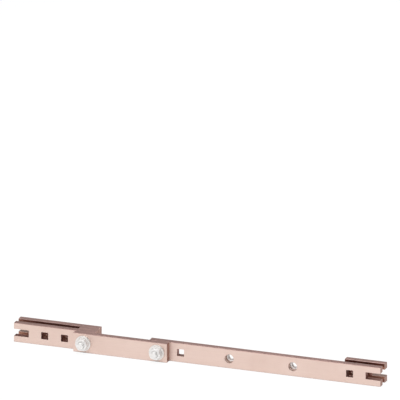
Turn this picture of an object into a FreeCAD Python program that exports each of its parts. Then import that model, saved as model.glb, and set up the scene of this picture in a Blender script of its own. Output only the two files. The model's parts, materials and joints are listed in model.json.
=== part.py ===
"""Bolted copper bus bar standing on its narrow edge.

A long main bar and a doubled, slotted fork end are joined by a link bar lapped over their front faces.
The right end of the main bar carries a clamp plate a bar's thickness behind it, and its two round
terminal holes hold nuts pressed in from behind. All lengths are in millimetres. +X runs along the bars,
+Y points to the back and +Z is up. The origin is below the middle of the whole set, on the surface that
it stands on.
"""
import FreeCAD, Part
import math
import os

# Flat bar
bar_height = 30.0
bar_thickness = 10.0
bar_edge_radius = 0.6

# Bolted laps
bolt_spacing = 117.0
bar_end_to_bolt = 15.0
link_end_to_bolt = 16.0

# Punched slots and square holes
slot_depth = 23.5
punch_corner_radius = 0.8
end_to_square_hole = 49.0
fork_hole_pitch = 31.5
fork_hole_to_bolt = 33.5

# Main bar and its round terminal holes
main_length = 367.0
terminal_hole_diameter = 14.0
main_end_to_terminal = 126.5
terminal_pitch = 101.0

# Nuts pressed into the terminal holes
press_nut_bore = 9.0
press_nut_flange = 1.75
press_nut_height = 5.0
press_shank_length = 2.2
press_shank_clearance = 0.1

# Strip between main bar and clamp plate
strip_length = 5.0
strip_height = 20.0
strip_edge_radius = 0.4

# Square-necked bolts
bolt_diameter = 10.0
bolt_hole_clearance = 1.0
bolt_head_diameter = 24.6
bolt_head_height = 5.0
bolt_head_rim = 0.8
bolt_neck_short_of_face = 4.0
bolt_stick_out = 4.5
bolt_end_chamfer = 1.2

# Nuts and washers
nut_across_flats = 17.0
nut_height = 8.0
nut_chamfer_angle = 30.0
thread_clearance = 0.1
fork_nut_turn = 0.0
link_nut_turn = 13.0
washer_diameter = 24.0
washer_thickness = 2.5
washer_hole_clearance = 0.5

# Sizes that follow from those above
bolt_opening = bolt_diameter + bolt_hole_clearance
link_length = bolt_spacing + 2.0 * link_end_to_bolt
clamp_length = end_to_square_hole + bar_end_to_bolt
fork_bolt_run = end_to_square_hole + fork_hole_pitch + fork_hole_to_bolt
fork_length = fork_bolt_run + bar_end_to_bolt
total_length = fork_bolt_run + bolt_spacing - bar_end_to_bolt + main_length

# Places along X
left_x = -total_length / 2.0
right_x = total_length / 2.0
fork_bolt_x = left_x + fork_bolt_run
link_bolt_x = fork_bolt_x + bolt_spacing
main_x = link_bolt_x - bar_end_to_bolt
clamp_x = right_x - clamp_length
terminal_left_x = main_x + main_end_to_terminal
terminal_right_x = terminal_left_x + terminal_pitch

# Front faces of the four layers of bar, the face behind them and the height of the bolt line
front_reach = washer_thickness + nut_height + bolt_stick_out
rear_reach = 4.0 * bar_thickness + bolt_head_height
link_y = (front_reach - rear_reach) / 2.0
main_y = link_y + bar_thickness
gap_y = main_y + bar_thickness
rear_y = gap_y + bar_thickness
back_y = rear_y + bar_thickness
bolt_z = bar_height / 2.0

across = FreeCAD.Vector(0.0, 1.0, 0.0)


def edges_along(shape, axis):
    """Straight edges of a box-like shape that run along axis 0, 1 or 2."""
    found = []
    for edge in shape.Edges:
        run = edge.Vertexes[-1].Point.sub(edge.Vertexes[0].Point)
        if abs(run[axis]) > 0.999 * run.Length:
            found.append(edge)
    return found


def drawn_bar(x, y, length):
    """Flat bar with rounded long edges, its left end at x and its front face at y."""
    bar = Part.makeBox(length, bar_thickness, bar_height, FreeCAD.Vector(x, y, 0.0))
    return bar.makeFillet(bar_edge_radius, edges_along(bar, 0))


def punch(x, y, width):
    """Punch as high as a bolt opening, centred on x, through the bar whose front face is at y."""
    corner = FreeCAD.Vector(x - width / 2.0, y - bar_thickness, bolt_z - bolt_opening / 2.0)
    tool = Part.makeBox(width, 3.0 * bar_thickness, bolt_opening, corner)
    return tool.makeFillet(punch_corner_radius, edges_along(tool, 1))


def square_punch(x, y):
    """Punch for the square neck of a bolt."""
    return punch(x, y, bolt_opening)


def slot_punch(end_x, y):
    """Punch for the slot that opens at the bar's end at end_x, as long beyond the end as within it."""
    return punch(end_x, y, 2.0 * slot_depth)


def drill(x, y, diameter):
    """Round drill through the bar whose front face is at y."""
    start = FreeCAD.Vector(x, y - bar_thickness, bolt_z)
    return Part.makeCylinder(diameter / 2.0, 3.0 * bar_thickness, start, across)


def beside(x, radius, y):
    """Point at a radius from the bolt line at x."""
    return FreeCAD.Vector(x + radius, y, bolt_z)


def turned(x, points):
    """Solid turned about the bolt line at x from a closed outline of (radius, y) points."""
    corners = [beside(x, radius, y) for radius, y in points]
    return Part.Face(Part.makePolygon(corners + corners[:1])).revolve(beside(x, 0.0, 0.0), across, 360.0)


def main_bar():
    """Long bar: lap bolt hole, square hole and slot near the ends, two terminal holes between."""
    tools = [
        square_punch(link_bolt_x, main_y),
        square_punch(main_x + end_to_square_hole, main_y),
        drill(terminal_left_x, main_y, terminal_hole_diameter),
        drill(terminal_right_x, main_y, terminal_hole_diameter),
        square_punch(right_x - end_to_square_hole, main_y),
        slot_punch(right_x, main_y),
    ]
    return drawn_bar(main_x, main_y, main_length).cut(tools)


def fork_plate(y):
    """Plate of the doubled left end: end slot, two square holes and the hole of the lap bolt."""
    first_hole_x = left_x + end_to_square_hole
    tools = [
        slot_punch(left_x, y),
        square_punch(first_hole_x, y),
        square_punch(first_hole_x + fork_hole_pitch, y),
        square_punch(fork_bolt_x, y),
    ]
    return drawn_bar(left_x, y, fork_length).cut(tools)


def fork_spacer():
    """Block between the fork plates, as long on both sides of its round bolt hole."""
    block = drawn_bar(fork_bolt_x - bar_end_to_bolt, gap_y, 2.0 * bar_end_to_bolt)
    return block.cut(drill(fork_bolt_x, gap_y, bolt_opening))


def link_bar():
    """Lapped bar with a round bolt hole near each end."""
    tools = [drill(x, link_y, bolt_opening) for x in (fork_bolt_x, link_bolt_x)]
    return drawn_bar(fork_bolt_x - link_end_to_bolt, link_y, link_length).cut(tools)


def clamp_plate():
    """Short plate behind the right end, with the same slot and square hole as the main bar."""
    tools = [slot_punch(right_x, rear_y), square_punch(right_x - end_to_square_hole, rear_y)]
    return drawn_bar(clamp_x, rear_y, clamp_length).cut(tools)


def clamp_spacer():
    """Brazed strip that fills the gap at the inner end of the clamp plate."""
    corner = FreeCAD.Vector(clamp_x, gap_y, bolt_z - strip_height / 2.0)
    strip = Part.makeBox(strip_length, bar_thickness, strip_height, corner)
    return strip.makeFillet(strip_edge_radius, edges_along(strip, 1))


def press_nut(x):
    """Round nut behind the main bar, its shorter shank pressed into the terminal hole at x."""
    bore = press_nut_bore / 2.0
    shank = (terminal_hole_diameter - press_shank_clearance) / 2.0
    body = terminal_hole_diameter / 2.0 + press_nut_flange
    tip_y = gap_y - press_shank_length
    end_y = gap_y + press_nut_height
    return turned(x, [
        (bore, tip_y),
        (shank, tip_y),
        (shank, gap_y),
        (body, gap_y),
        (body, end_y),
        (bore, end_y),
    ])


def square_neck_bolt(x, seat_y):
    """Bolt whose domed head seats on the rear face at seat_y and whose end points to the front."""
    shank = bolt_diameter / 2.0
    head = bolt_head_diameter / 2.0
    end_y = link_y - front_reach
    rim_y = seat_y + bolt_head_rim
    crown_y = seat_y + bolt_head_height
    profile = [
        (0.0, crown_y),
        (0.0, end_y),
        (shank - bolt_end_chamfer, end_y),
        (shank, end_y + bolt_end_chamfer),
        (shank, seat_y),
        (head, seat_y),
        (head, rim_y),
    ]
    # The dome is three cones between points on its circle, which keeps its facets few
    rise = crown_y - rim_y
    dome = (head ** 2 + rise ** 2) / (2.0 * rise)
    swing = math.asin(head / dome)
    for share in (0.7, 0.4):
        profile.append((dome * math.sin(swing * share), crown_y - dome * (1.0 - math.cos(swing * share))))
    neck_length = bar_thickness - bolt_neck_short_of_face
    neck_corner = FreeCAD.Vector(x - shank, seat_y - neck_length, bolt_z - shank)
    neck = Part.makeBox(bolt_diameter, neck_length, bolt_diameter, neck_corner)
    return turned(x, profile).fuse(neck).removeSplitter()


def washer(x):
    """Round washer on the link bar."""
    inner = (bolt_diameter + washer_hole_clearance) / 2.0
    outer = washer_diameter / 2.0
    front_y = link_y - washer_thickness
    return turned(x, [(inner, front_y), (outer, front_y), (outer, link_y), (inner, link_y)])


def hexagon_nut(x, turn):
    """Nut on the washer, chamfered on its front face and turned by some degrees from flats level."""
    seat_y = link_y - washer_thickness
    front_y = seat_y - nut_height
    flat = nut_across_flats / 2.0
    corner = flat / math.cos(math.radians(30.0))
    drop = (corner - flat) * math.tan(math.radians(nut_chamfer_angle))
    bore = (bolt_diameter + thread_clearance) / 2.0
    ring = []
    for step in range(7):
        angle = math.radians(60.0 * step - turn)
        ring.append(FreeCAD.Vector(x + corner * math.cos(angle), front_y, bolt_z + corner * math.sin(angle)))
    prism = Part.Face(Part.makePolygon(ring)).extrude(across * nut_height)
    blank = turned(x, [
        (bore, front_y),
        (flat, front_y),
        (corner, front_y + drop),
        (corner, seat_y),
        (bore, seat_y),
    ])
    return prism.common(blank)


pieces = {
    "main_bar": main_bar(),
    "link_bar": link_bar(),
    "fork_front_plate": fork_plate(main_y),
    "fork_rear_plate": fork_plate(rear_y),
    "fork_spacer": fork_spacer(),
    "clamp_plate": clamp_plate(),
    "clamp_spacer": clamp_spacer(),
    "terminal_nut_left": press_nut(terminal_left_x),
    "terminal_nut_right": press_nut(terminal_right_x),
    "fork_bolt": square_neck_bolt(fork_bolt_x, back_y),
    "fork_washer": washer(fork_bolt_x),
    "fork_nut": hexagon_nut(fork_bolt_x, fork_nut_turn),
    "link_bolt": square_neck_bolt(link_bolt_x, gap_y),
    "link_washer": washer(link_bolt_x),
    "link_nut": hexagon_nut(link_bolt_x, link_nut_turn),
}

os.makedirs("parts", exist_ok=True)
for name, shape in pieces.items():
    solid = shape.Solids[0]
    solid.exportStep("parts/" + name + ".step")
    box = solid.BoundBox
    print(f"{name}: {len(shape.Solids)} solid, valid {solid.isValid()}, {solid.Volume / 1000.0:.3f} cm3,"
          f" x {box.XMin:.2f} {box.XMax:.2f} y {box.YMin:.2f} {box.YMax:.2f} z {box.ZMin:.2f} {box.ZMax:.2f}")
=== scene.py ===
"""Looks of a bolted copper bus bar set that stands on its narrow edge.

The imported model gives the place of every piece. Each class here holds the sizes of one sub-assembly,
builds its meshes around that model and dresses them, and each finish is a class of its own. Lengths
are in metres: +X runs along the bars, +Y points to the back and +Z is up. All bolts lie along Y.
"""
import json
import logging
import math
from dataclasses import dataclass
from enum import Enum
from typing import Iterable, Sequence

import bmesh
import bpy
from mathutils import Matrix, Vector

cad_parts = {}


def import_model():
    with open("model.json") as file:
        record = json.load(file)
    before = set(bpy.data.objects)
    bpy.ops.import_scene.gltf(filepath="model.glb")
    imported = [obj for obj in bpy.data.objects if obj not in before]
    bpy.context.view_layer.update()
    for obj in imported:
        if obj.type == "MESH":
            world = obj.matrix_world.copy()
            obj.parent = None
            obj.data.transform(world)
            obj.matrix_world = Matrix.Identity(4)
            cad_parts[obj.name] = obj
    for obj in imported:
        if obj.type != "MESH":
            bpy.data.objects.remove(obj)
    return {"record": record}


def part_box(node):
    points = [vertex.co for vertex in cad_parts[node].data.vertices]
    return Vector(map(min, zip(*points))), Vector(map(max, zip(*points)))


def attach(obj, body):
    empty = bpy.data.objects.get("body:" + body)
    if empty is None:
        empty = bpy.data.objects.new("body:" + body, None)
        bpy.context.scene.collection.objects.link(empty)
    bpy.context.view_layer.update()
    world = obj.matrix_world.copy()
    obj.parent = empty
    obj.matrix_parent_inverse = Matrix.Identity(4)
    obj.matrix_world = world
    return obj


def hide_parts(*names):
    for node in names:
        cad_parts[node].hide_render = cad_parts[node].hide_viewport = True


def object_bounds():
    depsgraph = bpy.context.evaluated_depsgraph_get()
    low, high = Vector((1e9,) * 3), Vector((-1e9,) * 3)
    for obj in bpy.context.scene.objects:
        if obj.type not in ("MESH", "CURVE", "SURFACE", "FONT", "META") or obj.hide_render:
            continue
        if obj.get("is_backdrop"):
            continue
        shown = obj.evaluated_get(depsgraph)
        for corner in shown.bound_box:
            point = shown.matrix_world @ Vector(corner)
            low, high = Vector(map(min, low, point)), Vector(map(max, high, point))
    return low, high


# Short names of types
Material = bpy.types.Material
Node = bpy.types.Node
Object = bpy.types.Object
Socket = bpy.types.NodeSocket
Tree = bpy.types.NodeTree
Mesh = bmesh.types.BMesh
Edge = bmesh.types.BMEdge
Face = bmesh.types.BMFace
Vert = bmesh.types.BMVert
Colour = tuple[float, float, float, float]
Span = tuple[float, float]
Feed = Socket | float | tuple

LOG = logging.getLogger("bus_bar")
MM = 0.001
BODY = "root"
BAR_LINE = Vector((1.0, 0.0, 0.0))
BOLT_LINE = Vector((0.0, 1.0, 0.0))
WHITE: Colour = (1.0, 1.0, 1.0, 1.0)
UNIT: Span = (0.0, 1.0)

# Points that lie closer than this are the same point
MERGE_DISTANCE = 0.002 * MM

# Two faces that turn by more than this meet in a corner
CORNER_ANGLE = math.radians(60.0)

# Strips that a rounding is made of, where nothing else is said
ROUNDING_STRIPS = 3

# A face looks along an axis with more than the first share of its normal, and lies along it below the second
SQUARE_ON = 0.9
EDGE_ON = 0.1

# How far the nut of each lap is turned from flats level
LAP_NUT_TURNS = {"fork": 0.0, "link": math.radians(13.0)}


class Slot(Enum):
    """Material slots of the record."""

    COPPER = "copper"
    ZINC = "zinc_steel"


class Side(Enum):
    """Which flat side of a bar faces a narrow gap."""

    NONE = 0
    FRONT = -1
    BACK = 1


class BarEnd(Enum):
    """Which end of a bar has an open slot."""

    NONE = 0
    LEFT = -1
    RIGHT = 1


class Mask(Enum):
    """Face attributes that tell a finish how a stretch of surface was made, and where shade is painted."""

    EDGE = "drawn_edge"
    SAWN = "sawn_end"
    CUT = "punched_wall"
    # Faces that take painted shade: the sides in a narrow gap, and the washers, whose darker, pinker tone is
    # partly painted reflection of the copper
    PAINTED_SHADE = "painted_shade_face"
    RIM = "worn_rim"


@dataclass
class Wiring:
    """Adds and joins the nodes of one node tree."""

    tree: Tree

    def add(self, kind: str, **inputs: Feed) -> Node:
        """Adds a node.

        Args:
            kind: Blender's name of the node type.
            inputs: what to feed into the inputs, with _ for a space in an input's name.

        Returns:
            The new node.
        """
        node = self.tree.nodes.new(kind)
        for name, source in inputs.items():
            self.feed(node.inputs[name.replace("_", " ")], source)
        return node

    def feed(self, target: Socket, source: Feed) -> None:
        """Links a socket to an input, or sets the input's own value.

        Args:
            target: the input.
            source: a socket or a plain value.
        """
        if isinstance(source, Socket):
            self.tree.links.new(source, target)
        else:
            target.default_value = source

    def stretch(self, vector: Socket, x: float = 1.0, y: float = 1.0) -> Socket:
        """Shrinks coordinates along an axis, so that a pattern runs long that way."""
        return self.add("ShaderNodeMapping", Vector=vector, Scale=(x, y, 1.0)).outputs["Vector"]

    def noise(self, vector: Socket, scale: Feed, detail: float = 3.0, rough: float = 0.5) -> Socket:
        """Adds cloudy noise.

        Args:
            vector: coordinates to read.
            scale: number of blots in a metre.
            detail: number of finer layers.
            rough: share of each finer layer.

        Returns:
            A value around 0.5.
        """
        node = self.add("ShaderNodeTexNoise", Vector=vector, Scale=scale, Detail=detail, Roughness=rough)
        return node.outputs[0]

    def remap(self, value: Feed, source: Span, target: Span = UNIT) -> Socket:
        """Maps one span of values to another and clamps the result.

        Args:
            value: what to map.
            source: the two values that become the ends of the target.
            target: the new span, which may run downwards.

        Returns:
            The mapped value.
        """
        node = self.add(
            "ShaderNodeMapRange", Value=value,
            From_Min=source[0], From_Max=source[1], To_Min=target[0], To_Max=target[1],
        )
        return node.outputs["Result"]

    def share(self, mask: Feed, most: float) -> Socket:
        """Scales a mask of 0 to 1 down to 0 to most."""
        return self.remap(mask, UNIT, (0.0, most))

    def calc(self, operation: str, first: Feed, second: Feed = 0.0) -> Socket:
        """Joins two values by one of the Math node's operations.

        Args:
            operation: Blender's name of the operation.
            first: first value.
            second: second value, if the operation has one.

        Returns:
            The result.
        """
        node = self.add("ShaderNodeMath")
        node.operation = operation
        self.feed(node.inputs[0], first)
        self.feed(node.inputs[1], second)
        return node.outputs[0]

    def tint(self, factor: Feed, first: Feed, second: Feed) -> Socket:
        """Mixes two colours.

        Args:
            factor: share of the second colour.
            first: colour at a factor of 0.
            second: colour at a factor of 1.

        Returns:
            The mixed colour.
        """
        node = self.add("ShaderNodeMix")
        node.data_type = "RGBA"
        colours = [socket for socket in node.inputs if socket.type == "RGBA"]
        for target, source in zip((node.inputs[0], *colours), (factor, first, second)):
            self.feed(target, source)
        return next(socket for socket in node.outputs if socket.type == "RGBA")

    def coats(self, base: Feed, coats: Iterable[tuple[Feed, Feed]]) -> Feed:
        """Lays coats of colour over a base, one after the other.

        Args:
            base: colour below all coats.
            coats: share and colour of each coat.

        Returns:
            The colour on top.
        """
        for share, colour in coats:
            base = self.tint(share, base, colour)
        return base

    def bump(self, height: Socket, strength: float, depth: float) -> Socket:
        """Turns heights into a shader's normal."""
        return self.add("ShaderNodeBump", Height=height, Strength=strength, Distance=depth).outputs["Normal"]

    def mask(self, mask: Mask) -> Socket:
        """Reads one of the piece's face attributes.

        Args:
            mask: which one.

        Returns:
            Its value.
        """
        node = self.add("ShaderNodeAttribute")
        node.attribute_name = mask.value
        return node.outputs["Fac"]

    def seen(self) -> Socket:
        """Tells rays that show a surface, straight or mirrored, from those that only carry its light.

        Returns:
            1 for a ray that shows the surface, otherwise 0.
        """
        path = self.add("ShaderNodeLightPath").outputs
        mirrored = self.calc("MAXIMUM", path["Is Glossy Ray"], path["Is Transmission Ray"])
        return self.calc("MAXIMUM", path["Is Camera Ray"], mirrored)

    def place(self, group: Tree, **inputs: Feed) -> dict[str, Socket]:
        """Places a node group.

        Args:
            group: the group.
            inputs: what to feed into its inputs.

        Returns:
            Its outputs by name.
        """
        node = self.add("ShaderNodeGroup")
        node.node_tree = group
        for name, source in inputs.items():
            self.feed(node.inputs[name], source)
        return {socket.name: socket for socket in node.outputs}


@dataclass(frozen=True)
class SurfaceEffects:
    """Node groups of the marks that drawing, handling and wear leave on metal."""

    lines: Tree
    handling: Tree
    scratches: Tree

    # Factors on the coordinates along a pattern that runs long
    LINE_RUN = 0.012
    BAND_RUN = 0.05
    SCRATCH_RUN = 0.06

    # Blots in a metre
    BAND_SCALE = 150.0
    SMUDGE_SCALE = 95.0
    SCRATCHED_SCALE = 120.0
    PIT_SCALE = 1500.0

    # Values of the noise between which a mark fades in
    CLOUD_SPAN = (0.35, 0.68)
    SMUDGE_SPAN = (0.5, 0.7)
    SCRATCHED_SPAN = (0.56, 0.62)
    PIT_SPAN = (0.80, 0.86)

    # Scratches: how much of the noise around its middle value they take up, and their slants in radians
    SCRATCH_WIDTH = 0.006
    SCRATCH_SLANTS = (0.3, -0.55)

    @classmethod
    def make(cls) -> "SurfaceEffects":
        """Builds every group once."""
        return cls(cls._lines(), cls._handling(), cls._scratches())

    @staticmethod
    def _start(name: str, scale: str, outputs: Sequence[str]) -> tuple[Wiring, Socket, Socket, Node]:
        """Opens a group that reads coordinates and one scale.

        Args:
            name: name of the group.
            scale: name of its scale.
            outputs: names of its outputs.

        Returns:
            The group's wiring, its coordinates, its scale and its output node.
        """
        group = bpy.data.node_groups.new(name, "ShaderNodeTree")
        group.interface.new_socket(name="Vector", in_out="INPUT", socket_type="NodeSocketVector")
        group.interface.new_socket(name=scale, in_out="INPUT", socket_type="NodeSocketFloat")
        for label in outputs:
            group.interface.new_socket(name=label, in_out="OUTPUT", socket_type="NodeSocketFloat")
        wiring = Wiring(group)
        entry = wiring.add("NodeGroupInput").outputs
        return wiring, entry["Vector"], entry[scale], wiring.add("NodeGroupOutput")

    @classmethod
    def _lines(cls) -> Tree:
        """Fine lines along X, left by the drawing die, and broader bands.

        Returns:
            The group.
        """
        wiring, spot, fineness, leave = cls._start("drawing_lines", "Fineness", ("Line", "Band"))
        line = wiring.noise(wiring.stretch(spot, x=cls.LINE_RUN), fineness, detail=4.0, rough=0.62)
        band = wiring.noise(wiring.stretch(spot, x=cls.BAND_RUN), cls.BAND_SCALE, detail=2.0)
        wiring.feed(leave.inputs["Line"], line)
        wiring.feed(leave.inputs["Band"], band)
        return wiring.tree

    @classmethod
    def _handling(cls) -> Tree:
        """Broad clouds of tarnish, and smaller smudges where hands and gloves have been.

        Returns:
            The group.
        """
        wiring, spot, clouds, leave = cls._start("handling", "Clouds", ("Cloud", "Smudge"))
        cloud = wiring.remap(wiring.noise(spot, clouds, detail=5.0, rough=0.55), cls.CLOUD_SPAN)
        patch = wiring.remap(wiring.noise(spot, cls.SMUDGE_SCALE), cls.SMUDGE_SPAN)
        wiring.feed(leave.inputs["Cloud"], cloud)
        wiring.feed(leave.inputs["Smudge"], wiring.calc("MULTIPLY", patch, cloud))
        return wiring.tree

    @classmethod
    def _scratches(cls) -> Tree:
        """Short thin scratches in two directions, and tiny pits.

        Returns:
            The group.
        """
        wiring, spot, spacing, leave = cls._start("scratches", "Spacing", ("Scratch", "Pit"))
        marks = []
        for slant in cls.SCRATCH_SLANTS:
            slanted = wiring.add("ShaderNodeMapping", Vector=spot, Rotation=(slant, 2.0 * slant, slant))
            across = slanted.outputs["Vector"]
            ridge = wiring.noise(wiring.stretch(across, x=cls.SCRATCH_RUN), spacing, detail=1.0)
            off_middle = wiring.calc("ABSOLUTE", wiring.calc("SUBTRACT", ridge, 0.5))
            line = wiring.remap(off_middle, (0.0, cls.SCRATCH_WIDTH), (1.0, 0.0))
            patch = wiring.remap(wiring.noise(across, cls.SCRATCHED_SCALE, detail=1.0), cls.SCRATCHED_SPAN)
            marks.append(wiring.calc("MULTIPLY", line, patch))
        pit = wiring.remap(wiring.noise(spot, cls.PIT_SCALE, detail=0.0), cls.PIT_SPAN)
        wiring.feed(leave.inputs["Scratch"], wiring.calc("MAXIMUM", *marks))
        wiring.feed(leave.inputs["Pit"], pit)
        return wiring.tree


def new_surface(name: str) -> tuple[Material, Wiring, Node, Socket]:
    """Starts a material.

    Args:
        name: name of the material.

    Returns:
        The material, its wiring, its Principled shader and its Object coordinates.
    """
    material = bpy.data.materials.new(name)
    material.use_nodes = True
    wiring = Wiring(material.node_tree)
    shader = next(node for node in material.node_tree.nodes if node.type == "BSDF_PRINCIPLED")
    return material, wiring, shader, wiring.add("ShaderNodeTexCoord").outputs["Object"]


@dataclass(frozen=True)
class DrawnCopper:
    """Bare copper bar as drawn: pale pink flats, with darker, redder edges, ends and cut walls, partly their
    own finish and partly painted shade.

    The faces in a narrow gap carry painted shade, darkest near their long edges, with painted light along the
    middle of the bar's height and again towards the open ends.
    """

    effects: SurfaceEffects
    bar_middle: float
    open_end: float
    flat: Colour = (0.82, 0.65, 0.585, 1.0)
    warm: Colour = (0.81, 0.63, 0.555, 1.0)
    tarnish: Colour = (0.68, 0.49, 0.42, 1.0)
    # Edges, sawn ends and cut walls are darker partly by their own finish and partly by painted shade
    edge: Colour = (0.53, 0.343, 0.31, 1.0)
    sawn: Colour = (0.42, 0.24, 0.195, 1.0)
    cut: Colour = (0.27, 0.08, 0.065, 1.0)
    # Colours of the painted shade in a narrow gap: dark, and lighter where painted light lies along the
    # middle
    gap_shade_colour: Colour = (0.16, 0.05, 0.035, 1.0)
    gap_lit_middle: Colour = (0.54, 0.27, 0.19, 1.0)
    rim: Colour = (0.84, 0.66, 0.58, 1.0)
    metallic: float = 0.8

    # Where the painted shade on the faces in a gap gives way to painted light, from the middle of the height
    # and inward from the open ends
    lit_middle: Span = (9.0 * MM, 10.5 * MM)
    mouth_depth: float = 29.5 * MM
    mouth_shade: float = 0.75

    # Sizes of the marks, in marks in a metre, and how long the tears in a punched wall run
    line_scale: float = 1500.0
    cloud_scale: float = 16.0
    scratch_scale: float = 420.0
    tear_scale: float = 1700.0
    tear_run: float = 0.08

    # Values that most of a noise lies between, and the wider ones that the tears' tone takes
    noise_span: Span = (0.3, 0.7)
    tear_span: Span = (0.2, 0.8)

    # Most that each mark tints the copper, and least that a torn wall keeps of its tone
    cloud_share: float = 0.12
    smudge_share: float = 0.2
    line_share: float = 0.4
    torn_share: float = 0.7
    rim_share: float = 0.5
    scratch_share: float = 0.35
    pit_share: float = 0.6

    # Roughness between the lines, what clouds and cut walls add, and the relief
    roughness: Span = (0.40, 0.50)
    cloud_roughness: float = 0.1
    cut_roughness: float = 0.16
    tear_height: float = 2.0
    relief_strength: float = 0.4
    relief_depth: float = 0.05 * MM

    def build(self) -> Material:
        """Makes the material.

        Returns:
            The new material.
        """
        material, wiring, shader, spot = new_surface("drawn_copper")
        marks = {
            **wiring.place(self.effects.lines, Vector=spot, Fineness=self.line_scale),
            **wiring.place(self.effects.handling, Vector=spot, Clouds=self.cloud_scale),
            **wiring.place(self.effects.scratches, Vector=spot, Spacing=self.scratch_scale),
            "Cut": wiring.mask(Mask.CUT),
            "Tear": wiring.noise(wiring.stretch(spot, y=self.tear_run), self.tear_scale),
        }
        wiring.feed(shader.inputs["Base Color"], self._tone(wiring, spot, marks))
        wiring.feed(shader.inputs["Roughness"], self._roughness(wiring, marks))
        wiring.feed(shader.inputs["Normal"], self._relief(wiring, marks))
        wiring.feed(shader.inputs["Metallic"], self.metallic)
        return material

    def _tone(self, wiring: Wiring, spot: Socket, marks: dict[str, Socket]) -> Feed:
        """Colours the copper, from its bare flats up to the pits.

        Args:
            wiring: wiring of the material.
            spot: coordinates on the piece.
            marks: the marks in its surface by name.

        Returns:
            The colour.
        """
        torn = wiring.remap(marks["Tear"], self.tear_span, (1.0, self.torn_share))
        return wiring.coats(self.flat, (
            (marks["Band"], self.warm),
            (wiring.share(marks["Cloud"], self.cloud_share), self.tarnish),
            (wiring.share(marks["Smudge"], self.smudge_share), self.tarnish),
            (wiring.remap(marks["Line"], self.noise_span, (self.line_share, 0.0)), self.tarnish),
            # Painted shade on the faces in a gap
            (wiring.mask(Mask.PAINTED_SHADE), self._gap_tone(wiring, spot)),
            # Edges, sawn ends and cut walls: partly their own darker finish, partly painted shade
            (wiring.mask(Mask.EDGE), self.edge),
            (wiring.mask(Mask.SAWN), self.sawn),
            (wiring.calc("MULTIPLY", marks["Cut"], torn), self.cut),
            (wiring.share(wiring.mask(Mask.RIM), self.rim_share), self.rim),
            (wiring.share(marks["Scratch"], self.scratch_share), self.rim),
            (wiring.share(marks["Pit"], self.pit_share), self.tarnish),
        ))

    def _gap_tone(self, wiring: Wiring, spot: Socket) -> Socket:
        """Paints shade on the faces in a narrow gap, with painted light along the middle of the height and
        towards the open ends.

        Args:
            wiring: wiring of the material.
            spot: coordinates on the piece.

        Returns:
            The colour.
        """
        along = wiring.add("ShaderNodeSeparateXYZ", Vector=spot).outputs
        off_middle = wiring.calc("ABSOLUTE", wiring.calc("SUBTRACT", along["Z"], self.bar_middle))
        mouth = (self.open_end - self.mouth_depth, self.open_end)
        inward = wiring.remap(wiring.calc("ABSOLUTE", along["X"]), mouth, (1.0, self.mouth_shade))
        shade = wiring.calc("MULTIPLY", wiring.remap(off_middle, self.lit_middle), inward)
        return wiring.tint(shade, self.gap_lit_middle, self.gap_shade_colour)

    def _roughness(self, wiring: Wiring, marks: dict[str, Socket]) -> Socket:
        """Roughens the copper along its lines, under clouds and in cut walls.

        Args:
            wiring: wiring of the material.
            marks: the marks in its surface by name.

        Returns:
            The roughness.
        """
        drawn = wiring.remap(marks["Line"], self.noise_span, self.roughness)
        clouded = wiring.calc("ADD", drawn, wiring.share(marks["Cloud"], self.cloud_roughness))
        return wiring.calc("ADD", clouded, wiring.share(marks["Cut"], self.cut_roughness))

    def _relief(self, wiring: Wiring, marks: dict[str, Socket]) -> Socket:
        """Raises the lines and the tears, and sinks the scratches and the pits.

        Args:
            wiring: wiring of the material.
            marks: the marks in its surface by name.

        Returns:
            The shader's normal.
        """
        tears = wiring.remap(marks["Tear"], self.noise_span, (0.0, self.tear_height))
        height = wiring.calc("ADD", marks["Line"], wiring.calc("MULTIPLY", marks["Cut"], tears))
        for name in ("Scratch", "Pit"):
            height = wiring.calc("SUBTRACT", height, marks[name])
        return wiring.bump(height, self.relief_strength, self.relief_depth)


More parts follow.
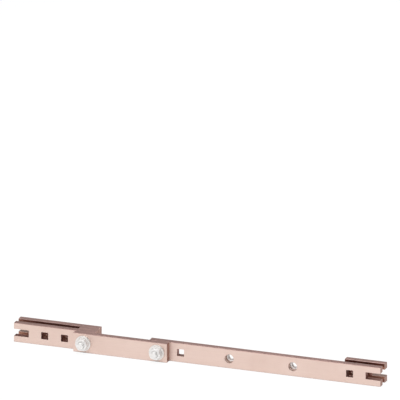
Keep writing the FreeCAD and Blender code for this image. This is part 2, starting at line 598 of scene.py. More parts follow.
@dataclass(frozen=True)
class BrightZinc:
    """Bright zinc plating on steel: silvery white and a little cloudy; the washers are duller and take a
    darker, pinker tone, partly painted reflection of the copper.
    """

    effects: SurfaceEffects
    plate: Colour = (0.92, 0.905, 0.895, 1.0)
    cloudy: Colour = (0.86, 0.845, 0.835, 1.0)
    yellowed: Colour = (0.90, 0.885, 0.84, 1.0)
    worn: Colour = (0.92, 0.92, 0.92, 1.0)
    scratch: Colour = (0.62, 0.62, 0.63, 1.0)
    # Duller stamped plating, darker and pinker partly as painted reflection of the copper
    stamped_and_copper_reflection: Colour = (0.86, 0.825, 0.80, 1.0)
    metallic: float = 0.6

    # Sizes of the marks, in marks in a metre, and the values that most of the grain lies between
    cloud_scale: float = 110.0
    scratch_scale: float = 700.0
    grain_scale: float = 2600.0
    grain_span: Span = (0.3, 0.7)

    # Most that each mark tints the plating
    cloud_share: float = 0.55
    smudge_share: float = 0.5
    scratch_share: float = 0.5
    worn_share: float = 0.7

    # Roughness of the grain, what clouds add, and the relief
    roughness: Span = (0.42, 0.50)
    cloud_roughness: float = 0.1
    scratch_depth: float = 1.5
    relief_strength: float = 0.2
    relief_depth: float = 0.03 * MM

    def build(self) -> Material:
        """Makes the material.

        Returns:
            The new material.
        """
        material, wiring, shader, spot = new_surface("bright_zinc")
        marks = {
            **wiring.place(self.effects.handling, Vector=spot, Clouds=self.cloud_scale),
            **wiring.place(self.effects.scratches, Vector=spot, Spacing=self.scratch_scale),
        }
        grain = wiring.noise(spot, self.grain_scale, detail=2.0)
        tone = wiring.coats(self.plate, (
            (wiring.share(marks["Cloud"], self.cloud_share), self.cloudy),
            # Washers: duller plating and painted reflection of the copper
            (wiring.mask(Mask.PAINTED_SHADE), self.stamped_and_copper_reflection),
            (wiring.share(marks["Smudge"], self.smudge_share), self.yellowed),
            (wiring.share(marks["Scratch"], self.scratch_share), self.scratch),
            (wiring.share(wiring.mask(Mask.RIM), self.worn_share), self.worn),
        ))
        rough = wiring.remap(grain, self.grain_span, self.roughness)
        rough = wiring.calc("ADD", rough, wiring.share(marks["Cloud"], self.cloud_roughness))
        relief = wiring.calc("SUBTRACT", grain, wiring.calc("MULTIPLY", marks["Scratch"], self.scratch_depth))
        wiring.feed(shader.inputs["Base Color"], tone)
        wiring.feed(shader.inputs["Roughness"], rough)
        wiring.feed(shader.inputs["Normal"], wiring.bump(relief, self.relief_strength, self.relief_depth))
        wiring.feed(shader.inputs["Metallic"], self.metallic)
        return material


@dataclass(frozen=True)
class PaleFloor:
    """White studio floor that shows a faint shadow; between the plates its glow is dimmed by ambient
    occlusion, a painted shade that shows in mirror images.
    """

    bounce: Colour = (0.80, 0.80, 0.80, 1.0)
    shadow_share: float = 0.15
    strength: float = 1.06
    gap_reach: float = 30.0 * MM
    gap_openness: Span = (0.22, 0.34)

    def build(self) -> Material:
        """Makes the material, white to the camera and in mirror images, and plain diffuse to other light.

        Returns:
            The new material.
        """
        material = bpy.data.materials.new("pale_floor")
        material.use_nodes = True
        material.node_tree.nodes.clear()
        wiring = Wiring(material.node_tree)
        straight = wiring.add("ShaderNodeLightPath").outputs["Is Camera Ray"]
        # Painted shade: the glow dims by ambient occlusion where the floor lies in a narrow gap
        openness = wiring.add("ShaderNodeAmbientOcclusion", Distance=self.gap_reach).outputs["AO"]
        lit = wiring.calc("MAXIMUM", straight, wiring.remap(openness, self.gap_openness))
        light = wiring.calc("MULTIPLY", lit, self.strength)
        glow = wiring.add("ShaderNodeEmission", Color=WHITE, Strength=light)
        paper = wiring.add("ShaderNodeBsdfDiffuse", Color=WHITE)
        plain = wiring.add("ShaderNodeBsdfDiffuse", Color=self.bounce)
        shown = self._mix(wiring, self.shadow_share, glow, paper)
        both = self._mix(wiring, wiring.seen(), plain, shown)
        wiring.add("ShaderNodeOutputMaterial", Surface=both.outputs[0])
        return material

    @staticmethod
    def _mix(wiring: Wiring, share: Feed, first: Node, second: Node) -> Node:
        """Mixes two shaders.

        Args:
            wiring: wiring of the material.
            share: share of the second shader.
            first: shader at a share of 0.
            second: shader at a share of 1.

        Returns:
            The mixing node.
        """
        node = wiring.add("ShaderNodeMixShader")
        for target, source in zip(node.inputs, (share, first.outputs[0], second.outputs[0])):
            wiring.feed(target, source)
        return node


def new_mesh() -> Mesh:
    """Starts a mesh that has every mask of the finishes.

    Returns:
        The empty mesh.
    """
    bm = bmesh.new()
    for mask in Mask:
        bm.faces.layers.float.new(mask.value)
    return bm


def mark(bm: Mesh, faces: Iterable[Face], mask: Mask, value: float = 1.0) -> None:
    """Sets a mask on some faces.

    Args:
        bm: mesh that holds the faces.
        faces: faces to mark.
        mask: which mask.
        value: how strongly.
    """
    layer = bm.faces.layers.float[mask.value]
    for face in faces:
        face[layer] = value


def sharp_edges(edges: Iterable[Edge], least: float = CORNER_ANGLE) -> list[Edge]:
    """Edges between two faces that turn by more than an angle."""
    return [edge for edge in edges if len(edge.link_faces) == 2 and edge.calc_face_angle() > least]


def soften(bm: Mesh, edges: Sequence[Edge], width: float, strips: int = ROUNDING_STRIPS) -> list[Face]:
    """Rounds some edges.

    Args:
        bm: mesh that holds the edges.
        edges: edges to round.
        width: how far the rounding reaches from each edge.
        strips: number of strips in the rounding.

    Returns:
        The new faces.
    """
    made = bmesh.ops.bevel(
        bm, geom=list(edges), offset=width, offset_type="OFFSET", segments=strips, profile=0.5,
        affect="EDGES", clamp_overlap=False, loop_slide=False, material=-1,
    )
    return made["faces"]


def close_up(bm: Mesh) -> None:
    """Merges doubles and points every face outwards."""
    bmesh.ops.remove_doubles(bm, verts=bm.verts[:], dist=MERGE_DISTANCE)
    bmesh.ops.recalc_face_normals(bm, faces=bm.faces[:])


def slice_at(bm: Mesh, spot: Vector, line: Vector, before: bool = True, beyond: bool = True) -> None:
    """Cuts a mesh along a plane.

    Args:
        bm: mesh to cut.
        spot: any point on the plane.
        line: direction square to the plane.
        before: whether to keep what lies before the plane.
        beyond: whether to keep what lies beyond it.
    """
    bmesh.ops.bisect_plane(
        bm, geom=[*bm.verts, *bm.edges, *bm.faces], dist=MERGE_DISTANCE, plane_co=spot, plane_no=line,
        clear_inner=not before, clear_outer=not beyond,
    )


def turn(bm: Mesh, axis: Vector, outline: Sequence[Span], sides: int, closed: bool = False) -> None:
    """Turns an outline about a bolt line, as on a lathe.

    Args:
        bm: mesh to add to.
        axis: any point on the bolt line.
        outline: (radius, y) points.
        sides: number of sides.
        closed: whether the outline runs back to its first point.
    """
    verts = [bm.verts.new((axis.x + radius, y, axis.z)) for radius, y in outline]
    following = [*verts[1:], verts[0]] if closed else verts[1:]
    edges = [bm.edges.new(pair) for pair in zip(verts, following)]
    bmesh.ops.spin(
        bm, geom=[*verts, *edges], cent=axis, axis=BOLT_LINE, angle=math.tau, steps=sides, use_merge=True,
    )
    close_up(bm)


@dataclass(frozen=True)
class Thread:
    """Metric screw thread: the radius of its wall and of its ridge's tip, its pitch and its flats."""

    wall: float
    tip: float
    pitch: float = 1.5 * MM
    wall_share: float = 0.25
    tip_share: float = 0.125
    sides: int = 48

    def cut(self, bm: Mesh, axis: Vector, start: float, end: float) -> None:
        """Adds the ridge's surface between two places along a bolt line, open at both ends.

        Args:
            bm: mesh to add to, empty so far.
            axis: any point on the bolt line.
            start: y where the thread starts.
            end: y where it ends.
        """
        rise = self.wall_share + (1.0 - self.wall_share - self.tip_share) / 2.0
        ridge = (
            (self.wall, 0.0),
            (self.wall, self.wall_share),
            (self.tip, rise),
            (self.tip, rise + self.tip_share),
            (self.wall, 1.0),
        )
        base = start - self.pitch
        turns = math.ceil((end - start) / self.pitch) + 2
        places = [(axis.x + radius, base + share * self.pitch, axis.z) for radius, share in ridge]
        verts = [bm.verts.new(place) for place in places]
        edges = [bm.edges.new(pair) for pair in zip(verts, verts[1:])]
        bmesh.ops.spin(
            bm, geom=[*verts, *edges], cent=axis, axis=BOLT_LINE, dvec=BOLT_LINE * (self.pitch / self.sides),
            angle=math.tau * turns, steps=self.sides * turns, use_merge=False,
        )
        bmesh.ops.remove_doubles(bm, verts=bm.verts[:], dist=MERGE_DISTANCE)
        slice_at(bm, BOLT_LINE * start, BOLT_LINE, before=False)
        slice_at(bm, BOLT_LINE * end, BOLT_LINE, beyond=False)


@dataclass
class Piece:
    """One finished piece, with the node that it stands for."""

    node: str
    slot: Slot
    smooth_below: float = math.radians(38.0)

    def finish(self, bm: Mesh, material: Material) -> Object:
        """Turns a mesh into the object that stands for the node.

        Args:
            bm: the mesh, which is used up.
            material: its finish.

        Returns:
            The new object.
        """
        mesh = bpy.data.meshes.new(self.node + "_mesh")
        bm.to_mesh(mesh)
        bm.free()
        mesh.shade_smooth()
        mesh.set_sharp_from_angle(angle=self.smooth_below)
        mesh.materials.append(material)
        piece = bpy.data.objects.new(self.node + "_dressed", mesh)
        bpy.context.scene.collection.objects.link(piece)
        even = piece.modifiers.new("even_shading", "WEIGHTED_NORMAL")
        even.keep_sharp = True
        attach(piece, BODY)
        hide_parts(self.node)
        triangles = sum(len(face.vertices) - 2 for face in mesh.polygons)
        LOG.info("%s: %d triangles in %s", piece.name, triangles, material.name)
        return piece


@dataclass
class FlatBar:
    """Drawn flat bar with punched and drilled openings, all on the middle line of its height."""

    node: str
    squares: Sequence[float] = ()
    rounds: Sequence[float] = ()
    round_radius: float = 5.5 * MM
    slotted: BarEnd = BarEnd.NONE
    gap_side: Side = Side.NONE
    gap_from: float | None = None
    opening: float = 11.0 * MM
    slot_depth: float = 23.5 * MM
    long_edge: float = 0.6 * MM
    punch_corner: float = 0.8 * MM
    rim: float = 0.3 * MM
    corner_strips: int = 4
    arc_steps: int = 32

    # How strongly the side in a gap takes painted shade, and how strongly the upright and the level punched
    # walls and the drilled walls take their dark tone, which is partly painted shade
    gap_painted_shade: float = 1.0
    wall_tone: float = 1.0
    level_tone: float = 0.65
    drilled_tone: float = 0.05

    def dress(self, material: Material) -> Object:
        """Builds the bar.

        Args:
            material: its finish.

        Returns:
            The new object.
        """
        low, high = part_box(self.node)
        bm = new_mesh()
        self._front_half(bm, low, high)
        self._whole(bm, low, high)
        if self.gap_from is not None:
            slice_at(bm, BAR_LINE * self.gap_from, BAR_LINE)
        self._mark_walls(bm, low, high)
        self._round_off(bm, low, high)
        return Piece(self.node, Slot.COPPER).finish(bm, material)

    def _front_half(self, bm: Mesh, low: Vector, high: Vector) -> None:
        """Fills the upper half of the front face, with its lower side on the ground plane for now.

        Args:
            bm: mesh to add to, empty so far.
            low: low corner of the bar's box.
            high: high corner of it.
        """
        half = self.opening / 2.0
        top = (high.z - low.z) / 2.0
        slot_start = half if self.slotted is BarEnd.LEFT else 0.0
        path: list[Vert] = [bm.verts.new((low.x, low.y, slot_start))]

        def go(x: float, z: float) -> None:
            """Runs the outline on to a point."""
            path.append(bm.verts.new((x, low.y, z)))
            bm.edges.new(path[-2:])

        if self.slotted is BarEnd.LEFT:
            go(low.x + self.slot_depth, half)
            go(low.x + self.slot_depth, 0.0)
        for x in sorted([*self.squares, *self.rounds]):
            if x in self.squares:
                go(x - half, 0.0)
                go(x - half, half)
                go(x + half, half)
                go(x + half, 0.0)
            else:
                go(x - self.round_radius, 0.0)
                arc = bmesh.ops.spin(
                    bm, geom=path[-1:], cent=(x, low.y, 0.0), axis=BOLT_LINE, angle=math.pi,
                    steps=self.arc_steps,
                )
                path += [item for item in arc["geom_last"] if isinstance(item, Vert)]
        if self.slotted is BarEnd.RIGHT:
            go(high.x - self.slot_depth, 0.0)
            go(high.x - self.slot_depth, half)
            go(high.x, half)
        else:
            go(high.x, 0.0)
        go(high.x, top)
        go(low.x, top)
        bm.edges.new((path[-1], path[0]))
        bmesh.ops.edgeloop_fill(bm, edges=bm.edges[:])

    @staticmethod
    def _whole(bm: Mesh, low: Vector, high: Vector) -> None:
        """Mirrors the half face, lifts it to its height and extrudes it to the back.

        Args:
            bm: mesh of the half face.
            low: low corner of the bar's box.
            high: high corner of it.
        """
        bmesh.ops.mirror(bm, geom=[*bm.verts, *bm.edges, *bm.faces], merge_dist=MERGE_DISTANCE, axis="Z")
        bmesh.ops.translate(bm, verts=bm.verts[:], vec=(0.0, 0.0, (low.z + high.z) / 2.0))
        close_up(bm)
        grown = bmesh.ops.extrude_face_region(bm, geom=bm.faces[:])
        moved = [item for item in grown["geom"] if isinstance(item, Vert)]
        bmesh.ops.translate(bm, verts=moved, vec=BOLT_LINE * (high.y - low.y))
        close_up(bm)

    def _mark_walls(self, bm: Mesh, low: Vector, high: Vector) -> None:
        """Marks the drawn long sides, the walls that were punched, drilled or sawn, and the side in a gap,
        which takes painted shade.

        Args:
            bm: mesh of the bar.
            low: low corner of its box.
            high: high corner of it.
        """
        for face in bm.faces:
            middle = face.calc_center_median()
            if abs(face.normal.y) > SQUARE_ON:
                in_gap = self.gap_from is None or middle.x > self.gap_from
                # The side in a gap takes painted shade
                if in_gap and face.normal.y * self.gap_side.value > 0.0:
                    mark(bm, [face], Mask.PAINTED_SHADE, self.gap_painted_shade)
            elif min(middle.z - low.z, high.z - middle.z) < MERGE_DISTANCE:
                mark(bm, [face], Mask.EDGE)
            elif min(middle.x - low.x, high.x - middle.x) < MERGE_DISTANCE:
                mark(bm, [face], Mask.SAWN)
            else:
                drilled = any(abs(middle.x - x) < self.round_radius for x in self.rounds)
                tone = self.level_tone if abs(face.normal.z) > SQUARE_ON else self.wall_tone
                mark(bm, [face], Mask.CUT, self.drilled_tone if drilled else tone)

    def _round_off(self, bm: Mesh, low: Vector, high: Vector) -> None:
        """Rounds the punch's corners, the long edges and all rims.

        Rims across the end of a bar keep the tone of its drawn edges, and the others are worn bright.

        Args:
            bm: mesh of the bar.
            low: low corner of its box.
            high: high corner of it.
        """
        corners = [edge for edge in sharp_edges(bm.edges) if not edge.is_convex]
        mark(bm, soften(bm, corners, self.punch_corner, self.corner_strips), Mask.CUT, self.wall_tone)
        long_edges = [edge for edge in sharp_edges(bm.edges) if self._is_long(edge, low, high)]
        mark(bm, soften(bm, long_edges, self.long_edge), Mask.EDGE)
        rims = soften(bm, sharp_edges(bm.edges), self.rim)
        bm.normal_update()
        for face in rims:
            tone = Mask.EDGE if abs(face.normal.y) < EDGE_ON else Mask.RIM
            for mask in Mask:
                mark(bm, [face], mask, float(mask is tone))

    @staticmethod
    def _is_long(edge: Edge, low: Vector, high: Vector) -> bool:
        """Tells whether an edge runs along the bar at its top or bottom.

        Args:
            edge: the edge.
            low: low corner of the bar's box.
            high: high corner of it.

        Returns:
            True for a long edge.
        """
        first, second = (vert.co for vert in edge.verts)
        outer = min(first.z - low.z, high.z - first.z) < MERGE_DISTANCE
        level = abs(first.z - second.z) < MERGE_DISTANCE
        return outer and level and abs(first.x - second.x) > MERGE_DISTANCE


@dataclass
class SquareNeckBolt:
    """Bolt with a domed head at the back, a square neck and a threaded end to the front."""

    node: str
    diameter: float = 10.0 * MM
    head_height: float = 5.0 * MM
    head_rim: float = 0.8 * MM
    neck_length: float = 6.0 * MM
    thread_length: float = 26.0 * MM
    thread_depth: float = 0.92 * MM
    end_chamfer: float = 1.2 * MM
    run_out: float = 1.0 * MM
    head_edge: float = 0.3 * MM
    neck_edge: float = 0.5 * MM
    dome_steps: int = 14
    sides: int = 96

    def dress(self, material: Material) -> Object:
        """Builds the bolt as one closed skin from head to thread, with its neck.

        Args:
            material: its finish.

        Returns:
            The new object.
        """
        low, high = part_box(self.node)
        axis = (low + high) / 2.0
        radius = self.diameter / 2.0
        thread_end = low.y + self.thread_length
        bm = new_mesh()
        Thread(radius - self.thread_depth, radius).cut(bm, axis, low.y, thread_end)
        self._chamfer(bm, axis, low.y)
        cone = low.y + self.end_chamfer
        end_ring = [edge for edge in bm.edges if edge.is_boundary and edge.verts[0].co.y < cone]
        bmesh.ops.edgeloop_fill(bm, edges=end_ring)
        self._blank(bm, axis, (high.x - low.x) / 2.0, high.y, thread_end + self.run_out)
        bmesh.ops.bridge_loops(bm, edges=[edge for edge in bm.edges if edge.is_boundary])
        close_up(bm)
        self._neck(bm, axis, high.y - self.head_height)
        return Piece(self.node, Slot.ZINC).finish(bm, material)

    def _chamfer(self, bm: Mesh, axis: Vector, end: float) -> None:
        """Turns the thread's first ridge down to a cone.

        Args:
            bm: mesh of the thread.
            axis: any point on the bolt line.
            end: y of the bolt's end.
        """
        for depth in (self.end_chamfer / 2.0, self.end_chamfer):
            slice_at(bm, BOLT_LINE * (end + depth), BOLT_LINE)
        tip = self.diameter / 2.0 - self.end_chamfer
        for vert in bm.verts:
            arm = Vector((vert.co.x - axis.x, 0.0, vert.co.z - axis.z))
            most = tip + (vert.co.y - end)
            if arm.length > most:
                vert.co += arm * (most / arm.length - 1.0)

    def _blank(self, bm: Mesh, axis: Vector, head: float, crown: float, shank_end: float) -> None:
        """Turns the domed head and the plain shank, open where the thread runs out.

        Args:
            bm: mesh to add to.
            axis: any point on the bolt line.
            head: radius of the head.
            crown: y of the dome's top.
            shank_end: y where the plain shank ends.
        """
        shank = self.diameter / 2.0
        seat = crown - self.head_height
        rise = self.head_height - self.head_rim
        dome = (head ** 2 + rise ** 2) / (2.0 * rise)
        swing = math.asin(head / dome)
        outline = [
            (shank, shank_end),
            (shank, seat),
            (head - self.head_edge, seat),
            (head, seat + self.head_edge),
        ]
        for step in range(self.dome_steps + 1):
            angle = swing * (1.0 - step / self.dome_steps)
            outline.append((dome * math.sin(angle), crown - dome * (1.0 - math.cos(angle))))
        turn(bm, axis, outline, self.sides)

    def _neck(self, bm: Mesh, axis: Vector, seat: float) -> None:
        """Adds the square neck under the head.

        Args:
            bm: mesh to add to.
            axis: any point on the bolt line.
            seat: y of the head's underside.
        """
        block = bmesh.ops.create_cube(bm, size=1.0)["verts"]
        bmesh.ops.scale(bm, verts=block, vec=(self.diameter, self.neck_length, self.diameter))
        bmesh.ops.translate(bm, verts=block, vec=(axis.x, seat - self.neck_length / 2.0, axis.z))
        edges = [edge for edge in bm.edges if edge.verts[0] in block]
        soften(bm, edges, self.neck_edge)


@dataclass
class FlatWasher:
    """Stamped washer: rounded at the rim on the side that the punch came from."""

    node: str
    hole: float = 10.5 * MM
    rolled: float = 0.2 * MM
    burr: float = 0.15 * MM
    sides: int = 96

    def dress(self, material: Material) -> Object:
        """Builds the washer.

        Args:
            material: its finish.

        Returns:
            The new object.
        """
        low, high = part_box(self.node)
        inner, outer = self.hole / 2.0, (high.x - low.x) / 2.0
        section = [(inner, low.y), (outer, low.y), (outer, high.y), (inner, high.y)]
        bm = new_mesh()
        turn(bm, (low + high) / 2.0, section, self.sides, closed=True)
        # Every face of the washer takes the darker, pinker tone, partly painted reflection of the copper
        mark(bm, bm.faces, Mask.PAINTED_SHADE)
        for width, place in ((self.rolled, low.y), (self.burr, high.y)):
            rims = [edge for edge in sharp_edges(bm.edges)
                    if all(abs(vert.co.y - place) < MERGE_DISTANCE for vert in edge.verts)]
            mark(bm, soften(bm, rims, width), Mask.RIM)
        return Piece(self.node, Slot.ZINC).finish(bm, material)


@dataclass
class HexagonNut:
    """Hexagon nut with cone-turned corners on both faces and a countersunk bore."""

    node: str
    turned: float = 0.0
    across_flats: float = 17.0 * MM
    bore: float = 10.1 * MM
    countersink: float = 0.55 * MM
    face_setback: float = 0.45 * MM
    cone: float = math.radians(30.0)
    corner_edge: float = 0.2 * MM
    corner_angle: float = math.radians(45.0)
    corner_strips: int = 2
    smooth_below: float = math.radians(20.0)
    sides: int = 96

    def dress(self, material: Material) -> Object:
        """Builds the nut.

        Args:
            material: its finish.

        Returns:
            The new object.
        """
        low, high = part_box(self.node)
        axis = (low + high) / 2.0
        flat = self.across_flats / 2.0
        face = flat - self.face_setback
        bore = self.bore / 2.0
        mouth = bore + self.countersink
        bm = new_mesh()
        turn(bm, axis, [
            (mouth, low.y), (face, low.y), (flat, low.y), (flat, high.y), (face, high.y), (mouth, high.y),
            (bore, high.y - self.countersink), (bore, low.y + self.countersink),
        ], self.sides, closed=True)
        self._flats(bm, axis, low.y)
        least_run = self.across_flats / 4.0
        corners = [edge for edge in sharp_edges(bm.edges, self.corner_angle)
                   if abs(edge.verts[0].co.y - edge.verts[1].co.y) > least_run]
        mark(bm, soften(bm, corners, self.corner_edge, self.corner_strips), Mask.RIM)
        return Piece(self.node, Slot.ZINC, self.smooth_below).finish(bm, material)

    def _flats(self, bm: Mesh, axis: Vector, front: float) -> None:
        """Pushes the round blank's side out to six flats and cuts its corners back on a cone.

        Args:
            bm: mesh of the blank.
            axis: any point on the bolt line.
            front: y of the nut's front face.
        """
        flat = self.across_flats / 2.0
        face = flat - self.face_setback
        sixth = math.tau / 6.0
        for vert in bm.verts:
            arm = Vector((vert.co.x - axis.x, 0.0, vert.co.z - axis.z))
            if arm.length < flat - MERGE_DISTANCE:
                continue
            angle = math.atan2(arm.z, arm.x) + self.turned
            from_flat = (angle % sixth) - sixth / 2.0
            reach = flat / math.cos(from_flat)
            vert.co += arm * (reach / arm.length - 1.0)
            drop = (reach - face) * math.tan(self.cone)
            vert.co.y += drop if abs(vert.co.y - front) < MERGE_DISTANCE else -drop
        bm.normal_update()


@dataclass
class PressNut:
    """Round nut pressed into a bar from behind, with a tapped bore."""

    node: str
    seat: float
    hole_radius: float = 7.0 * MM
    shank_clearance: float = 0.05 * MM
    shank_edge: float = 0.2 * MM
    tip_radius: float = 4.4 * MM
    wall_radius: float = 5.05 * MM
    countersink: float = 0.35 * MM
    edge: float = 0.5 * MM
    groove: float = 0.5 * MM
    sides: int = 96

    def dress(self, material: Material) -> Object:
        """Builds the nut as one closed skin around its thread.

        Args:
            material: its finish.

        Returns:
            The new object.
        """
        low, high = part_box(self.node)
        axis = (low + high) / 2.0
        body = (high.x - low.x) / 2.0
        shank = self.hole_radius - self.shank_clearance
        mouth = self.wall_radius + self.countersink
        bm = new_mesh()
        thread = Thread(self.wall_radius, self.tip_radius)
        thread.cut(bm, axis, low.y + self.countersink, high.y - self.countersink)
        turn(bm, axis, [
            (mouth, low.y),
            (shank - self.shank_edge, low.y),
            (shank, low.y + self.shank_edge),
            (shank, self.seat - 2.0 * self.groove),
            (shank - self.groove, self.seat - self.groove),
            (shank - self.groove, self.seat),
            (body, self.seat),
            (body, high.y - self.edge),
            (body - self.edge, high.y),
            (mouth, high.y),
        ], self.sides)
        ends = [edge for edge in bm.edges if edge.is_boundary]
        for place in (low.y, high.y):
            loops = [edge for edge in ends if abs(edge.verts[0].co.y - place) < 2.0 * self.countersink]
            bmesh.ops.bridge_loops(bm, edges=loops)
        close_up(bm)
        return Piece(self.node, Slot.ZINC).finish(bm, material)


@dataclass
class BoltedLap:
    """Bolt, washer and nut that clamp the link bar at one end."""

    bolt: SquareNeckBolt
    washer: FlatWasher
    nut: HexagonNut

    @classmethod
    def named(cls, name: str, nut_turned: float) -> "BoltedLap":
        """The lap whose nodes start with a name, with its nut turned from flats level by an angle."""
        nut = HexagonNut(name + "_nut", nut_turned)
        return cls(SquareNeckBolt(name + "_bolt"), FlatWasher(name + "_washer"), nut)

    def dress(self, zinc: Material) -> None:
        """Builds the three pieces in zinc."""
        for piece in (self.bolt, self.washer, self.nut):
            piece.dress(zinc)


@dataclass
class BarSet:
    """All bars, with their openings where the record and the bolts put them."""

    mounts: dict[str, Vector]
    bolt_hole: float = 5.5 * MM
    terminal_hole: float = 7.0 * MM

    def bars(self) -> list[FlatBar]:
        """Lists the bars.

        In the photograph the level walls of the two rear plates are the lightest, so they are toned least,
        which gives them the least painted shade.

        Returns:
            One bar for each copper piece.
        """
        fork_bolt, link_bolt = self._middle("fork_washer"), self._middle("link_washer")
        place = {name: spot.x for name, spot in self.mounts.items()}
        clamp_hole = place["clamp_square_hole"]
        main_holes = [link_bolt, place["main_square_hole"], clamp_hole]
        terminals = [place["terminal_thread_left"], place["terminal_thread_right"]]
        fork_holes = [place["fork_square_hole_outer"], place["fork_square_hole_inner"], fork_bolt]
        # Tones per bar set how much painted shade is laid on the side in a gap and on the punched walls of
        # each bar
        fork = {"squares": fork_holes, "slotted": BarEnd.LEFT, "gap_painted_shade": 0.95}
        return [
            FlatBar(
                "main_bar", main_holes, terminals, self.terminal_hole, BarEnd.RIGHT, Side.BACK,
                gap_from=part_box("clamp_plate")[0].x, wall_tone=0.8, level_tone=0.55,
            ),
            FlatBar("link_bar", (), [fork_bolt, link_bolt], self.bolt_hole),
            FlatBar("fork_front_plate", gap_side=Side.BACK, level_tone=0.8, **fork),
            FlatBar("fork_rear_plate", gap_side=Side.FRONT, level_tone=0.1, **fork),
            FlatBar("fork_spacer", (), [fork_bolt], self.bolt_hole),
            FlatBar("clamp_plate", [clamp_hole], slotted=BarEnd.RIGHT, gap_side=Side.FRONT, level_tone=0.1),
            FlatBar("clamp_spacer"),
        ]

    @staticmethod
    def _middle(node: str) -> float:
        """X of a node's middle."""
        low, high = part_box(node)
        return (low.x + high.x) / 2.0

    def dress(self, copper: Material) -> None:
        """Builds every bar in copper."""
        for bar in self.bars():
            bar.dress(copper)


def bearing(azimuth: float, elevation: float) -> Vector:
    """Direction from the bars to a point at an azimuth and elevation in degrees; azimuth 0 is the front."""
    turn_by, rise = math.radians(azimuth), math.radians(elevation)
    return Vector((math.sin(turn_by) * math.cos(rise), -math.cos(turn_by) * math.cos(rise), math.sin(rise)))


@dataclass(frozen=True)
class Softbox:
    """Soft lamp that looks at the middle of the bars."""

    name: str
    azimuth: float
    elevation: float
    distance: float
    width: float
    height: float
    watts: float

    def build(self, target: Vector) -> None:
        """Hangs the lamp.

        Args:
            target: point that it looks at.
        """
        lamp = bpy.data.lights.new(self.name, "AREA")
        lamp.shape = "RECTANGLE"
        lamp.energy = self.watts
        lamp.size = self.width
        lamp.size_y = self.height
        back = bearing(self.azimuth, self.elevation)
        holder = bpy.data.objects.new(self.name, lamp)
        holder.location = target + back * self.distance
        holder.rotation_euler = (-back).to_track_quat("-Z", "Y").to_euler()
        holder.visible_camera = False
        bpy.context.scene.collection.objects.link(holder)


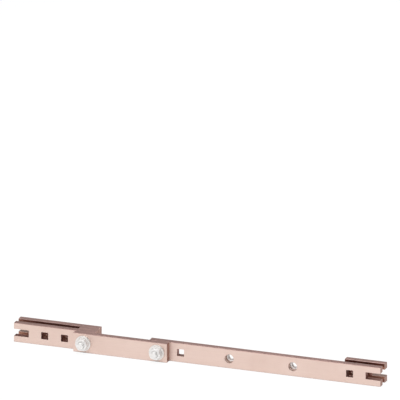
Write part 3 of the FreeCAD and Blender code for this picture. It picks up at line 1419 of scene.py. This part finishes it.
@dataclass
class Studio:
    """Pale floor, soft lamps and the camera at the photograph's viewing angle."""

    azimuth: float = 20.0
    elevation: float = 19.9
    picture_pixels: float = 400.0
    pixels_per_metre: float = 668.9
    origin_pixel: Span = (198.24, 363.25)
    camera_distance: float = 2.0
    camera_reach: float = 50.0
    floor_side: float = 14.0
    world_front: Colour = (0.30, 0.30, 0.30, 1.0)
    world_back: Colour = (0.22, 0.22, 0.22, 1.0)
    world_fade: Span = (-0.2, 0.6)
    lamps: Sequence[Softbox] = (
        Softbox("key", azimuth=-4.0, elevation=4.0, distance=5.0, width=1.4, height=0.44, watts=30.0),
        Softbox("left_fill", azimuth=-20.0, elevation=38.0, distance=2.5, width=1.6, height=1.6, watts=14.5),
        Softbox("overhead", azimuth=180.0, elevation=86.0, distance=2.5, width=1.0, height=1.0, watts=34.0),
        Softbox("back_fill", azimuth=150.0, elevation=35.0, distance=2.2, width=1.0, height=1.0, watts=7.0),
    )

    def build(self, target: Vector) -> None:
        """Sets up everything around the bars.

        Args:
            target: middle of the bars.
        """
        self._floor()
        self._world()
        for lamp in self.lamps:
            lamp.build(target)
        self._camera()
        bpy.context.scene.view_settings.view_transform = "Standard"

    def _floor(self) -> None:
        """Lays the floor that the bars stand on."""
        bm = bmesh.new()
        bmesh.ops.create_grid(bm, x_segments=1, y_segments=1, size=self.floor_side / 2.0)
        mesh = bpy.data.meshes.new("floor_mesh")
        bm.to_mesh(mesh)
        bm.free()
        mesh.materials.append(PaleFloor().build())
        floor = bpy.data.objects.new("floor", mesh)
        bpy.context.scene.collection.objects.link(floor)
        floor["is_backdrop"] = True

    def _world(self) -> None:
        """Surrounds the bars with grey, a little lighter in front, that shows as white below the horizon."""
        world = bpy.data.worlds.new("studio")
        world.use_nodes = True
        wiring = Wiring(world.node_tree)
        sky = next(node for node in world.node_tree.nodes if node.type == "BACKGROUND")
        direction = wiring.add("ShaderNodeTexCoord").outputs["Generated"]
        along = wiring.add("ShaderNodeSeparateXYZ", Vector=direction).outputs
        grey = wiring.tint(wiring.remap(along["Y"], self.world_fade), self.world_front, self.world_back)
        below = wiring.calc("LESS_THAN", along["Z"], 0.0)
        ground = wiring.calc("MULTIPLY", wiring.seen(), below)
        wiring.feed(sky.inputs["Color"], wiring.tint(ground, grey, WHITE))
        bpy.context.scene.world = world

    def _camera(self) -> None:
        """Places the camera so that the frame's origin falls on its pixel."""
        back = bearing(self.azimuth, self.elevation)
        turn_to = (-back).to_track_quat("-Z", "Y")
        right, up = turn_to @ Vector((1.0, 0.0, 0.0)), turn_to @ Vector((0.0, 1.0, 0.0))
        half = self.picture_pixels / 2.0
        aim = right * (half - self.origin_pixel[0]) + up * (self.origin_pixel[1] - half)
        lens = bpy.data.cameras.new("camera")
        lens.type = "ORTHO"
        lens.ortho_scale = self.picture_pixels / self.pixels_per_metre
        lens.clip_end = self.camera_reach
        camera = bpy.data.objects.new("camera", lens)
        camera.location = aim / self.pixels_per_metre + back * self.camera_distance
        camera.rotation_euler = turn_to.to_euler()
        bpy.context.scene.collection.objects.link(camera)
        bpy.context.scene.camera = camera


def main() -> None:
    """Builds the bars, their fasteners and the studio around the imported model."""
    logging.basicConfig(level=logging.INFO, format="%(name)s %(message)s")
    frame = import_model()
    cad_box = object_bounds()
    middle = (cad_box[0] + cad_box[1]) / 2.0
    mounts = {mount["name"]: Vector(mount["pos_m"]) for mount in frame["record"]["mounts"]}
    effects = SurfaceEffects.make()
    copper = DrawnCopper(effects, bar_middle=middle.z, open_end=cad_box[1].x).build()
    zinc = BrightZinc(effects).build()

    BarSet(mounts).dress(copper)
    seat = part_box("main_bar")[1].y
    for side in ("left", "right"):
        PressNut("terminal_nut_" + side, seat).dress(zinc)
    for name, nut_turned in LAP_NUT_TURNS.items():
        BoltedLap.named(name, nut_turned).dress(zinc)
    Studio().build(middle)


if __name__ == "__main__":
    main()
